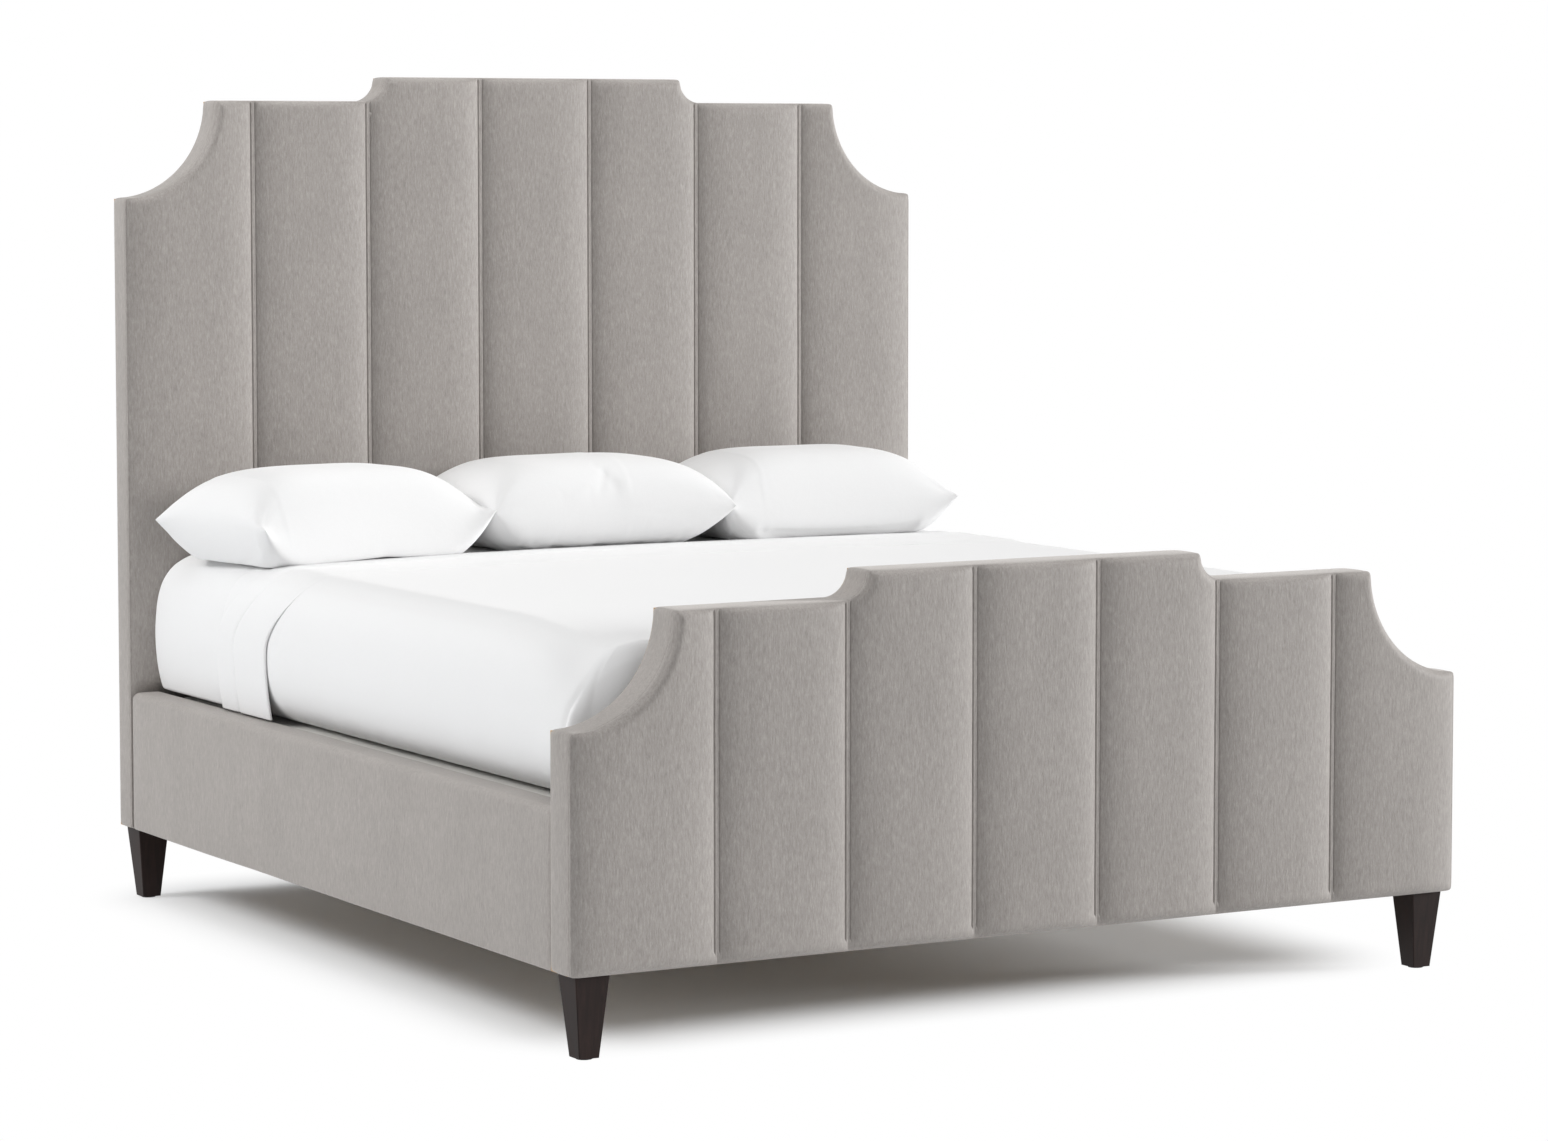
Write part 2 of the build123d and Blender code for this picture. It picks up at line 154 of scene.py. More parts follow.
# Bedding: what the cloth does at the foot, at the head end and between
foot_tuck = 0.050
foot_tuck_top = 0.69
foot_tuck_fade = 0.13
puff_place = (0.935, 0.630)
puff_size = (0.060, 0.070)
puff_height = 0.020
puff_roll = 0.020
puff_roll_width = 0.070
corner_droop = 0.062
corner_droop_place = (0.955, 1.010)
corner_droop_reach = (0.075, 0.110)
foot_droop = 0.020
foot_droop_span = (0.60, 1.0)
droop_heights = (0.50, 0.70)
fold_place = 0.45
fold_ease = 0.06
fold_step = 0.007
fold_top = 0.78
fold_fade = 0.06
head_end_start = 0.62
head_end_ease = 0.06
head_hang = 0.92
head_hang_heights = (0.474, 0.490)
bed_crown = 0.005
slack_top = 0.80
slack_fade = 0.25
slack_low = 0.0040
slack_high = 0.0008
panel_slack = 0.0012
panel_grain = (3.1, 2.6, 1)
broad_slack = 0.7
broad_grain = (3.0, 3.4, 1.6)
sharp_slack = 0.5
sharp_grain = (5.5, 6.5, 2.0)

# Bedding: layers, as distance out from the coverlet, thickness and mesh
SheetMesh = namedtuple("SheetMesh", "side_steps end_steps panel_spacing")
sheet_offset = -0.0085
sheet_tuck = (-0.05, -0.0005)
sheet_thickness = 0.001
sheet_mesh = SheetMesh(70, 60, 0.035)
coverlet_under_cuff = 0.012
coverlet_thickness = 0.004
coverlet_mesh = SheetMesh(76, 80, 0.025)
block_offset = -0.013
block_panel = 0.05
block_steps = 50

# Cuff: its rolls and runs are places across its width, from the hem, the stitch or the fold, and
# shares of its full lift
cuff_hem_side = 0.396
cuff_hem_top = 0.305
cuff_hem_middle = 0.350
cuff_width = 0.272
cuff_stitch = 0.171
cuff_side_lift = 0.0086
cuff_top_lift = 0.0030
cuff_top_sink = 0.0012
cuff_top_ramp = 0.035
cuff_top_heights = (0.640, 0.797)
cuff_top_points = 72
cuff_slack = 0.0010
cuff_thickness = 0.0008
cuff_hem_roll = [(0.022, 0.14), (0.006, 0.14), (0.0012, 0.23)]
cuff_hem_roll += [(0.0, 0.52), (0.0016, 0.84), (0.006, 0.98)]
cuff_hem_run = np.arange(0.016, cuff_stitch - 0.012, 0.015)
cuff_stitch_relief = [(-0.009, 0.98), (-0.0045, 0.80), (0.0, 0.42), (0.0045, 0.76), (0.009, 0.90)]
cuff_fold_run = np.arange(cuff_stitch + 0.025, cuff_width - 0.015, 0.02)
cuff_fold_run_share = 0.93
cuff_fold_roll = [(0.006, 0.81), (0.0012, 0.49), (0.0, 0.0)]
cuff_fold_roll += [(0.0012, -0.41), (0.006, -0.60), (0.03, -0.64)]

# Box springs
spring_inset = 0.06
spring_ease = 0.0005
spring_reach = spring_inset - spring_ease
spring_half_gap = 0.002
spring_corner = 0.012
spring_steps = (40, 20)
spring_rim = [(0.020, 0.0), (0.012, 0.001)]
spring_side_start = 0.020
spring_side_inset = 0.008
spring_side_swell = 0.004
spring_side_places = np.linspace(0.04, 0.96, 13)
tape_radius = 0.006
tape_height = 0.010
tape_turns = np.linspace(-2.2, 1.1, 7)
upper_tape_turns = np.linspace(-1.1, 2.2, 7)

# Pillows: turn, seam and creases of each, their sewn outline and their filling. front_drop is how far
# the seam sinks along the front, corner_rise how far it rises at the right-hand corners, and a crease
# is its place across and its direction
Pillow = namedtuple("Pillow", "turn front_drop corner_rise creases")
pillows = {
    "left": Pillow(9.0, 0.062, 0.010, [(-0.70, 1.0)]),
    "centre": Pillow(0.0, 0.0, -0.006, [(0.20, -1.0)]),
    "right": Pillow(-1.0, 0.034, 0.0, [(-0.62, 1.0)]),
}
pillow_half = (0.310, 0.223)
pillow_reach = 0.020
pillow_corner = 0.060
pillow_overfill = 0.007
pillow_waist = (0.030, 0.045)
pillow_cells = (92, 68)
pillow_cells_even = 0.62
pillow_seam_from = 0.9999
pillow_seam_height = 0.097
pillow_front_start = 0.2
pillow_fullness = (4.2, 3.4)
pillow_bluntness = 0.60
pillow_press = 1.45
pillow_press_blend = 0.010
pillow_frames = 16
pillow_pressure = 4.0
pillow_pressure_step = 0.5
pillow_swell_cap = 0.010
pillow_cloth = {"quality": 5, "mass": 0.25, "air_damping": 2.0, "use_pressure": True}
pillow_stiffness = {"tension": 18.0, "compression": 18.0, "shear": 6.0, "bending": 0.6}

# Pillow cases: pleats at the corners, slack and creases
pleat_depth = 0.0026
pleat_reach = 0.075
pleat_start = (0.006, 0.05)
pleat_grain = (3.0, 6.0, 2.0)
fine_pleat_share = 0.6
fine_pleat_grain = (2.3, 1.2, 1.0)
case_slack = 0.0014
case_grain = (6.0, 8.0, 6.0)
case_layer_gap = 0.05
case_edge = 0.02
crease_depth = 0.0010
crease_width = 0.0045
crease_wander = 0.006
crease_wander_rate = 9.0
crease_step = 0.45
crease_step_reach = 6
crease_under_share = 0.3

# Floor: where the bed's shadow is kept whole, and how far it takes to fade to white
floor_half = 40
floor_colour = (0.945, 0.96, 0.975, 1.0)
shadow_middle = (-0.035, 0.12)
shadow_half = (0.765, 0.88)
shadow_fade = 0.38

# Light
Lamp = namedtuple("Lamp", "place aim size power")
lamps = {
    "key": Lamp((29.4, -12.0, 6.5), (0.0, 0.0, 0.8), 7.0, 8200.0),
    "side": Lamp((-6.2, 1.9, 5.0), (0.0, 0.0, 0.6), 3.0, 232.0),
    "top": Lamp((-0.6, -0.4, 6.6), (0.0, 0.2, 0.7), 5.0, 78.0),
}
world_level = 0.44
white = (1.0, 1.0, 1.0, 1.0)

half_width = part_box("headboard_cover")[1].x
notch_centre = plateau_width / 2 + notch_radius
seam_lines = np.array([(i - channel_count / 2) * channel_pitch for i in range(1, channel_count)])
channel_edges = np.concatenate([[-half_width], seam_lines, [half_width]])
notch_seam = seam_lines[np.abs(seam_lines - plateau_width / 2).argmin()]

Board = namedtuple("Board", "name back front top upper bottom crown_bottom")


def make_board(name, crown_bottom):
    """A board's planes and heights. upper is the height of the steps beside its plateau."""
    low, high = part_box(f"{name}_cover")
    front = low.y + channel_crown
    return Board(name, high.y, front, high.z, high.z - notch_radius, low.z, crown_bottom)


rail_low, rail_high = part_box("left_rail_cover")
headboard = make_board("headboard", rail_high.z + headboard_crown_gap)
footboard = make_board("footboard", rail_low.z - crown_margin)


# Meshes

seed_shift = (17.3, 5.1, 9.7)
inside_only = 1
fill_tolerance = 1e-7


def smoothstep(value, low, high):
    t = np.clip((value - low) / (high - low), 0.0, 1.0)
    return t * t * (3 - 2 * t)


def soft_noise(points, scale, seed):
    """Smooth noise from -1 to 1 at each point, for a scale in features per metre along each axis."""
    shift = Vector([seed * step for step in seed_shift])
    scale = np.broadcast_to(scale, 3)
    return np.array([noise.noise(Vector(p * scale) + shift) for p in points])


def bell(value):
    return np.exp(-(value**2))


def upright(flat, y):
    """Points of a front view, at their place along the bed."""
    return np.column_stack([flat[:, 0], np.broadcast_to(y, len(flat)), flat[:, 1]])


def level(flat, z):
    """Points of a plan, at their height."""
    return np.column_stack([flat, np.broadcast_to(z, len(flat))])


def grid_points(xs, ys):
    return np.column_stack([grid.ravel() for grid in np.meshgrid(xs, ys)])


def ring_faces(rings, closed=True):
    """Quads between rings with equal point counts."""
    count = len(rings[0])
    faces = []
    for a in range(0, (len(rings) - 1) * count, count):
        b = a + count
        for i in range(count if closed else count - 1):
            j = (i + 1) % count
            faces.append((a + i, a + j, b + j, b + i))
    return faces


def fill(loop, inside, order):
    """Triangles inside a closed loop, through the inner points too. order holds the points' indices."""
    points = [Vector(p) for p in (*loop, *inside)]
    edges = [(i, (i + 1) % len(loop)) for i in range(len(loop))]
    result = delaunay_2d_cdt(points, edges, [], inside_only, fill_tolerance)
    origin = [order[ids[0]] for ids in result[3]]
    return [tuple(origin[v] for v in face) for face in result[2]]


def place_object(name, data):
    made = bpy.data.objects.new(name, data)
    bpy.context.scene.collection.objects.link(made)
    return made


def new_piece(name, points, faces, material, body, replaced):
    """A smooth mesh that rides on a body and stands for CAD nodes."""
    mesh = bpy.data.meshes.new(name)
    mesh.from_pydata([tuple(p) for p in points], [], faces)
    work = bmesh.new()
    work.from_mesh(mesh)
    bmesh.ops.recalc_face_normals(work, faces=work.faces)
    work.to_mesh(mesh)
    work.free()
    mesh.polygons.foreach_set("use_smooth", [True] * len(mesh.polygons))
    mesh.materials.append(material)
    piece = place_object(name, mesh)
    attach(piece, body)
    if replaced:
        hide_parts(*replaced)
    return piece


def smooth_surface(piece):
    smooth = piece.modifiers.new("smooth", "SUBSURF")
    smooth.levels = 1
    smooth.render_levels = 1


# Materials


def add_node(tree, kind, inputs, **settings):
    """A new shader node, with its inputs linked or set by name or number."""
    made = tree.nodes.new(kind)
    for key, value in settings.items():
        setattr(made, key, value)
    for key, value in inputs.items():
        if hasattr(value, "links"):
            tree.links.new(value, made.inputs[key])
        else:
            made.inputs[key].default_value = value
    return made


class Surface:
    """A material's node tree, with the few nodes that the finishes share."""

    def __init__(self, name, constants):
        self.material = bpy.data.materials.new(name)
        self.material.use_nodes = True
        self.tree = self.material.node_tree
        self.shader = self.tree.nodes["Principled BSDF"]
        for key, value in constants.items():
            self.shader.inputs[key].default_value = value
        self.place = self.node("ShaderNodeTexCoord", {}).outputs["Object"]

    def node(self, kind, inputs, **settings):
        return add_node(self.tree, kind, inputs, **settings)

    def space(self, scale):
        return self.node("ShaderNodeMapping", {"Vector": self.place, "Scale": scale}).outputs["Vector"]

    def noise(self, scale, detail, roughness, distortion=0.0):
        inputs = {"Vector": self.space(scale), "Scale": 1.0, "Detail": detail, "Roughness": roughness}
        return self.node("ShaderNodeTexNoise", {**inputs, "Distortion": distortion}).outputs["Fac"]

    def ramp(self, value, *stops):
        made = self.node("ShaderNodeValToRGB", {"Fac": value})
        elements = made.color_ramp.elements
        while len(elements) < len(stops):
            elements.new(0.5)
        for element, (position, colour) in zip(elements, stops):
            element.position = position
            element.color = (*colour, 1.0)
        return made.outputs["Color"]

    def mix(self, share, first, second, blend="MIX"):
        inputs = {0: share, 6: first, 7: second}
        return self.node("ShaderNodeMix", inputs, data_type="RGBA", blend_type=blend).outputs[2]

    def math(self, operation, first, second):
        return self.node("ShaderNodeMath", {0: first, 1: second}, operation=operation).outputs[0]

    def span(self, value, low, high):
        inputs = {"Value": value, "To Min": low, "To Max": high}
        return self.node("ShaderNodeMapRange", inputs).outputs["Result"]

    def bump(self, height, strength, distance, **under):
        inputs = {"Height": height, "Strength": strength, "Distance": distance}
        return self.node("ShaderNodeBump", {**inputs, **under}).outputs["Normal"]

    def wear(self, value, roughness):
        """Lets the roughness vary a little with a texture."""
        worn = self.span(value, roughness - 0.08, roughness + 0.1)
        self.tree.links.new(worn, self.shader.inputs["Roughness"])

    def finish(self, colour, normal):
        self.tree.links.new(colour, self.shader.inputs["Base Color"])
        self.tree.links.new(normal, self.shader.inputs["Normal"])
        return self.material


def chenille():
    """Heathered warm grey chenille with upright slubs and a soft pile."""
    pile = {"Sheen Weight": 0.42, "Sheen Roughness": 0.45, "Sheen Tint": (1.0, 0.97, 0.94, 1.0)}
    made = Surface("taupe_chenille", {"Roughness": 0.60, "Specular IOR Level": 0.36, **pile})
    slub = made.noise((320, 320, 66), 3.0, 0.6)
    blotch = made.noise((130, 130, 42), 2.0, 0.5)
    yarn = made.noise((950, 950, 260), 2.0, 0.5)
    cloud = made.noise((7, 7, 4), 3.0, 0.55)
    marbled = made.math("ADD", made.math("MULTIPLY", slub, 0.54), made.math("MULTIPLY", blotch, 0.20))
    heather = made.ramp(
        made.math("ADD", marbled, made.math("MULTIPLY", yarn, 0.26)),
        (0.36, (0.279, 0.256, 0.239)),
        (0.46, (0.327, 0.301, 0.282)),
        (0.54, (0.356, 0.329, 0.309)),
        (0.64, (0.417, 0.386, 0.365)),
    )
    shade = made.span(cloud, 0.90, 1.10)
    tone = made.node("ShaderNodeCombineColor", {"Red": shade, "Green": shade, "Blue": shade})
    colour = made.mix(1.0, heather, tone.outputs["Color"], "MULTIPLY")
    rough = made.bump(slub, 0.35, 0.0012)
    return made.finish(colour, made.bump(yarn, 0.25, 0.0006, Normal=rough))


def cotton():
    """White percale with a faint weave and a little crease."""
    nap = {"Sheen Weight": 0.12, "Sheen Roughness": 0.5}
    made = Surface("white_cotton", {"Roughness": 0.88, "Specular IOR Level": 0.2, **nap})
    weave = made.noise((900, 900, 900), 2.0, 0.6)
    crease = made.noise((9, 9, 9), 4.0, 0.6, 0.6)
    colour = made.ramp(weave, (0.25, (0.832, 0.832, 0.835)), (0.7, (0.884, 0.884, 0.884)))
    soft = made.bump(crease, 0.12, 0.006)
    return made.finish(colour, made.bump(weave, 0.12, 0.0004, Normal=soft))


def drawn_out(axis, across, along):
    """A texture's scale, with its features drawn out along one axis."""
    return [along if name == axis else across for name in "xyz"]


def wood(name, axis, dark, light, roughness):
    """Timber with grain that runs along one axis."""
    made = Surface(name, {"Roughness": roughness, "Specular IOR Level": 0.2})
    grain = made.noise(drawn_out(axis, 95.0, 5.0), 5.0, 0.6, 0.7)
    pore = made.noise(drawn_out(axis, 620.0, 24.0), 2.0, 0.5)
    colour = made.ramp(grain, (0.28, dark), (0.72, light))
    marked = made.mix(made.span(pore, 0.0, 0.5), colour, (*dark, 1.0))
    made.wear(grain, roughness)
    return made.finish(marked, made.bump(pore, 0.18, 0.0004))


def plywood():
    """Birch plywood, with its plies showing on the edges."""
    made = Surface("birch_plywood", {"Roughness": 0.62})
    plies = {"Vector": made.space((1, 520, 1)), "Scale": 1.0, "Distortion": 0.4}
    wave = made.node("ShaderNodeTexWave", plies, bands_direction="Y")
    grain = made.noise((60, 60, 6), 4.0, 0.6, 0.5)
    face = made.ramp(grain, (0.3, (0.45, 0.30, 0.17)), (0.7, (0.62, 0.45, 0.28)))
    colour = made.mix(made.math("MULTIPLY", wave.outputs["Fac"], 0.25), face, (0.28, 0.17, 0.09, 1.0))
    return made.finish(colour, made.bump(grain, 0.1, 0.0004))


def metal(name, base, metallic, roughness, grain_scale, strength):
    """Painted or plated steel, or plastic, with a fine uneven skin."""
    made = Surface(name, {"Roughness": roughness, "Metallic": metallic})
    skin = made.noise((grain_scale, grain_scale, grain_scale), 3.0, 0.6)
    colour = made.ramp(skin, (0.3, tuple(0.8 * c for c in base)), (0.7, base))
    made.wear(skin, roughness)
    return made.finish(colour, made.bump(skin, strength, 0.0003))


def ticking():
    """Off-white knitted ticking with a small quilted relief."""
    made = Surface("mattress_ticking", {"Roughness": 0.85, "Sheen Weight": 0.15, "Sheen Roughness": 0.5})
    knit = made.noise((420, 420, 900), 2.0, 0.5)
    quilting = {"Vector": made.space((26, 26, 26)), "Scale": 1.0}
    cells = made.node("ShaderNodeTexVoronoi", quilting, feature="SMOOTH_F1")
    colour = made.ramp(knit, (0.3, (0.62, 0.61, 0.58)), (0.7, (0.75, 0.74, 0.71)))
    quilt = made.bump(cells.outputs["Distance"], 0.35, 0.004)
    return made.finish(colour, made.bump(knit, 0.2, 0.0005, Normal=quilt))


upholstery = chenille()
bed_linen = cotton()
bedding_ticking = ticking()
leg_finish = wood("espresso_wood", "z", (0.010, 0.0055, 0.0048), (0.030, 0.016, 0.0135), 0.5)
pine = {
    axis: wood(f"pine_{word}", axis, (0.42, 0.27, 0.14), (0.66, 0.48, 0.30), 0.6)
    for axis, word in (("x", "across"), ("y", "along"), ("z", "upright"))
}
ply = plywood()
black_steel = metal("black_powder_coat", (0.028, 0.028, 0.030), 0.0, 0.5, 1400.0, 0.25)
zinc_steel = metal("zinc_plate", (0.62, 0.62, 0.60), 1.0, 0.36, 260.0, 0.08)
plastic = metal("black_nylon", (0.030, 0.030, 0.031), 0.0, 0.42, 800.0, 0.12)

kept_nodes = {
    leg_finish: [f"{end}_{side}_leg" for end in ("front", "rear") for side in ("left", "right")],
    pine["x"]: ["slats"],
    pine["y"]: ["rail_cleats", "centre_beam", "left_rail_board", "right_rail_board"],
    pine["z"]: ["support_legs"],
    ply: [],
    black_steel: ["beam_hangers", "corner_brackets"],
    zinc_steel: ["board_bolts", "rail_bolts", "leg_bolts"],
    plastic: ["leg_glides", "front_leveler", "rear_leveler"],
}
for board in (headboard, footboard):
    kept_nodes[pine["x"]] += [f"{board.name}_header", f"{board.name}_bottom_rail"]
    kept_nodes[pine["z"]] += [f"{board.name}_left_post", f"{board.name}_right_post"]
    kept_nodes[ply] += [f"{board.name}_panel"]
for finish, names in kept_nodes.items():
    for node_name in names:
        nodes[node_name].data.materials.clear()
        nodes[node_name].data.materials.append(finish)


# Headboard and footboard upholstery


def board_columns():
    """Places across the right half of a board, from its middle, close together at the seams."""
    places = {round(seam + channel_pitch / 2, 6) for seam in seam_lines}
    for seam in seam_lines:
        for step in near_seam:
            places.update((round(seam + step, 6), round(seam - step, 6)))
    places.update(round(half_width - side_column_step * i, 6) for i in range(1, side_columns + 1))
    return sorted(x for x in places if 0 <= x < half_width)


columns = board_columns()


def arc_reach(radius, inset):
    """How far from a cut-out's centre its arc meets the edge beside it, both drawn in by inset."""
    return math.sqrt((radius + inset) ** 2 - inset**2)


def arc_slip(radius):
    """The turn that a corner curve takes from each end of a cut-out's arc."""
    return math.asin(rim / (radius + rim)) + corner_leg / (radius + rim)


def outline_keys(board, inset):
    """Corners of the right half of a board's outline, drawn in by inset."""
    scallop_reach = arc_reach(scallop_radius, inset)
    return {
        "base": np.array((half_width - inset, board.bottom + inset)),
        "shoulder": np.array((half_width - inset, board.upper - scallop_reach)),
        "step": np.array((half_width - scallop_reach, board.upper - inset)),
        "crest": np.array((notch_centre - arc_reach(notch_radius, inset), board.top - inset)),
    }


def corner_curve(start, corner, end, weight):
    """A tight curve round a corner, without its two ends."""
    t = np.arange(1, corner_points + 1)[:, None] / (corner_points + 1)
    pull = 2 * t * (1 - t) * weight
    return ((1 - t) ** 2 * start + pull * corner + t**2 * end) / ((1 - t) ** 2 + pull + t**2)


def arc(centre, radius, turns):
    """Points on an arc, at turns from below its centre towards -X."""
    return np.array(centre) + radius * np.column_stack([-np.sin(turns), -np.cos(turns)])


def outline_loop(board, inset):
    """A board's outline drawn in by inset, with the same number of points at every inset."""
    inner = outline_keys(board, rim)
    own = outline_keys(board, inset)
    low, middle, high = board.bottom + inset, board.upper - inset, board.top - inset
    weight = 1.0 + (corner_weight - 1.0) * (1.0 - inset / rim)
    last = inner["base"][0] - corner_leg
    bottom = np.array([(x, low) for x in columns if x < last] + [(last, low)])
    first_row, last_row = inner["base"][1] + corner_leg, inner["shoulder"][1] - corner_leg
    rows = np.linspace(first_row, last_row, int((last_row - first_row) / row_step))
    sides = np.column_stack([np.full(len(rows), half_width - inset), rows])
    slip = arc_slip(scallop_radius)
    turns = np.linspace(slip, math.pi / 2 - slip, scallop_points)
    scallop = arc((half_width, board.upper), scallop_radius + inset, turns)
    first = inner["step"][0] - corner_leg
    between = [x for x in reversed(columns) if notch_centre < x < first]
    step = np.array([(x, middle) for x in [first] + between])
    across = [notch_centre - x for x in reversed(columns) if notch_seam - seam_reach < x < notch_centre]
    lower = np.arcsin(np.array([0.0] + across) / (notch_radius + inset))
    upward = np.linspace(lower[-1], math.pi / 2 - arc_slip(notch_radius), notch_points)[1:]
    notch = arc((notch_centre, board.top), notch_radius + inset, np.concatenate([lower, upward]))
    last = inner["crest"][0] - corner_leg
    top = np.array([(last, high)] + [(x, high) for x in reversed(columns) if x < last])
    runs = [bottom]
    cut = np.vstack([step, notch])
    for key, run in (("base", sides), ("shoulder", scallop), ("step", cut), ("crest", top)):
        runs += [corner_curve(runs[-1][-1], own[key], run[0], weight), run]
    half = np.vstack(runs)
    other = half[::-1] * (-1, 1)
    return np.vstack([half, other[half[::-1, 0] > 1e-9]])


def edge_distance(board, x, z):
    """How far a point of a board's front view lies inside its outline."""
    x = np.abs(x)
    scallop = np.hypot(x - half_width, z - board.upper) - scallop_radius
    notch = np.hypot(x - notch_centre, z - board.top) - notch_radius
    crest = np.where(x < notch_centre, np.minimum(board.top - z, notch), board.upper - z)
    return np.minimum.reduce([half_width - x, z - board.bottom, scallop, crest])


def front_height(board, x, z, depth_in):
    """How far a board's padded front stands out from its front plane."""
    index = np.searchsorted(seam_lines, x)
    left, right = channel_edges[index], channel_edges[index + 1]
    across = (2 * x - left - right) / (right - left)
    crown = swell * (1 - np.abs(across) ** crown_power)
    margin = np.clip(np.minimum(depth_in, z - board.crown_bottom) / crown_margin, 0.0, 1.0)
    height = crown * (1 - (1 - margin) ** margin_power)
    seam = np.abs(x[:, None] - seam_lines).min(axis=1)
    sewn = smoothstep(depth_in, seam_top_gap, seam_top_gap + seam_fade)
    sewn *= smoothstep(z - board.bottom, seam_bottom_gap, seam_bottom_gap + seam_fade)
    sewn *= smoothstep(z, board.crown_bottom, board.crown_bottom + crown_margin)
    groove = groove_depth * bell((seam - seam_half_gap) / groove_width)
    strip = strip_rise * np.clip(1 - (seam / seam_half_gap) ** 2, 0.0, 1.0)
    roll = seam_roll_depth * bell(seam / seam_roll_width)
    places = upright(np.column_stack([x, z]), board.front)
    pucker = pucker_height * soft_noise(places, pucker_grain, seed=3) * np.exp(-seam / pucker_reach)
    wave = unevenness * soft_noise(places, uneven_grain, seed=7) * margin
    height += sewn * (strip - groove - roll + pucker) + wave
    place, width, depth = edge_groove
    height -= depth * bell((depth_in - place) / width)
    drop = np.clip(edge_round - depth_in, 0.0, edge_round)
    return height - (edge_round - np.sqrt(edge_round**2 - drop**2))


def upholster(board):
    """One board's sewn cover: channelled front, border strip and back cloth."""
    inner = outline_loop(board, rim)
    outer = outline_loop(board, 0.0)
    count = len(inner)
    rows = np.arange(board.bottom, board.top, row_step)
    inside = grid_points(np.array([-x for x in columns[:0:-1]] + columns), rows)
    inside = inside[edge_distance(board, *inside.T) > rim + inside_gap]
    thickness = board.back - board.front
    rings = []

    def drawn(drawn_in):
        return outer + (inner - outer) * (drawn_in / rim)

    def padded(flat, depth_in):
        return upright(flat, board.front - front_height(board, *flat.T, depth_in))

    for drawn_in in front_rings:
        rings.append(padded(drawn(drawn_in), np.full(count, drawn_in)))
    border = [(edge_round + depth, drawn_in) for depth, drawn_in in border_front]
    border += [(thickness * share, drawn_in) for share, drawn_in in border_middle]
    border += [(thickness - depth, drawn_in) for depth, drawn_in in border_back]
    for depth, drawn_in in border:
        rings.append(upright(drawn(drawn_in), board.front + depth))
    total = len(rings) * count
    faces = ring_faces(rings)
    faces += fill(inner, inside, [*range(count), *range(total, total + len(inside))])
    faces += fill(inner, [], range(total - count, total))
    points = np.vstack([*rings, padded(inside, edge_distance(board, *inside.T))])
    covered = ["cover", "back_cover"] + [f"pad_{i + 1}" for i in range(channel_count)]
    replaced = [f"{board.name}_{part}" for part in covered]
    name = f"{board.name}_upholstery"
    piece = new_piece(name, points, faces, upholstery, "bed_frame", replaced)


upholster(headboard)
upholster(footboard)


# Side rails


def rounded_section(corners):
    """A closed section with its corners rounded, and points along its flats, with outward normals."""
    points, normals = [], []
    count = len(corners)
    for i, (x, z, radius) in enumerate(corners):
        here = np.array((x, z))
        before = np.array(corners[i - 1][:2]) - here
        after = np.array(corners[(i + 1) % count][:2]) - here
        before, after = before / np.linalg.norm(before), after / np.linalg.norm(after)
        centre = here + (before + after) * radius
        for t in np.linspace(0.0, math.pi / 2, rail_corner_points):
            normal = -after * math.cos(t) - before * math.sin(t)
            points.append(centre + normal * radius)
            normals.append(normal)
        following = corners[(i + 1) % count]
        start, end = points[-1], np.array(following[:2]) - after * following[2]
        steps = max(2, int(np.linalg.norm(end - start) / rail_flat_step))
        for t in np.arange(1, steps) / steps:
            points.append(start + (end - start) * t)
            normals.append(normals[-1])
    return np.array(points), np.array(normals)


def rail_stations(start, end):
    """Places along a rail, close together at its two ends."""
    near = np.array(rail_end_steps)
    middle = np.linspace(start + rail_middle_start, end - rail_middle_start, rail_middle_points)
    return np.concatenate([start + near, middle, end - near[::-1]])


def upholster_rail(side):
    """A padded side rail in its fabric sleeve."""
    low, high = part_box(f"{side}_rail_cover")
    outer, inner = (low.x, high.x) if side == "left" else (high.x, low.x)
    lower = [(inner, low.z, rail_edge), (outer, low.z, rail_edge)]
    section, normals = rounded_section(lower + [(outer, high.z, rail_round), (inner, high.z, rail_edge)])
    rings = []
    for y in rail_stations(low.y, high.y):
        gap = min(y - low.y, high.y - y)
        places = upright(section, y)
        height = (section[:, 1] - low.z) / (high.z - low.z)
        loose = smoothstep(gap, 0.0, rail_end_reach)
        bulge = rail_swell * np.sin(np.pi * np.clip(height, 0, 1)) * loose
        bulge += rail_unevenness * soft_noise(places, rail_grain, seed=11) * loose
        bulge -= rail_pinch * math.exp(-gap / rail_pinch_reach)
        rings.append(places + upright(normals * bulge[:, None], 0.0))
    points = np.vstack(rings)
    ends = [range(len(section)), range(len(points) - len(section), len(points))]
    faces = ring_faces(rings) + [tuple(end) for end in ends]
    name = f"{side}_rail_upholstery"
    replaced = [f"{side}_rail_cover", f"{side}_rail_padding"]
    piece = new_piece(name, points, faces, upholstery, "bed_frame", replaced)


upholster_rail("left")
upholster_rail("right")


# Mattress, box springs and sheets


def smooth_curve(keys, count):
    """Points evenly spaced along a smooth curve through the keys."""
    keys = np.array(keys)
    ends = np.vstack([2 * keys[0] - keys[1], keys, 2 * keys[-1] - keys[-2]])
    fine = []
    for a, b, c, d in zip(ends, ends[1:], ends[2:], ends[3:]):
        for t in np.linspace(0, 1, curve_steps, endpoint=False):
            bend = (2 * a - 5 * b + 4 * c - d) * t**2
            twist = (3 * b - a - 3 * c + d) * t**3
            fine.append(0.5 * (2 * b + (c - a) * t + bend + twist))
    fine = np.array(fine + [keys[-1]])
    walked = np.concatenate([[0.0], np.cumsum(np.linalg.norm(np.diff(fine, axis=0), axis=1))])
    wanted = np.linspace(0, walked[-1], count)
    return np.column_stack([np.interp(wanted, walked, fine[:, i]) for i in range(fine.shape[1])])


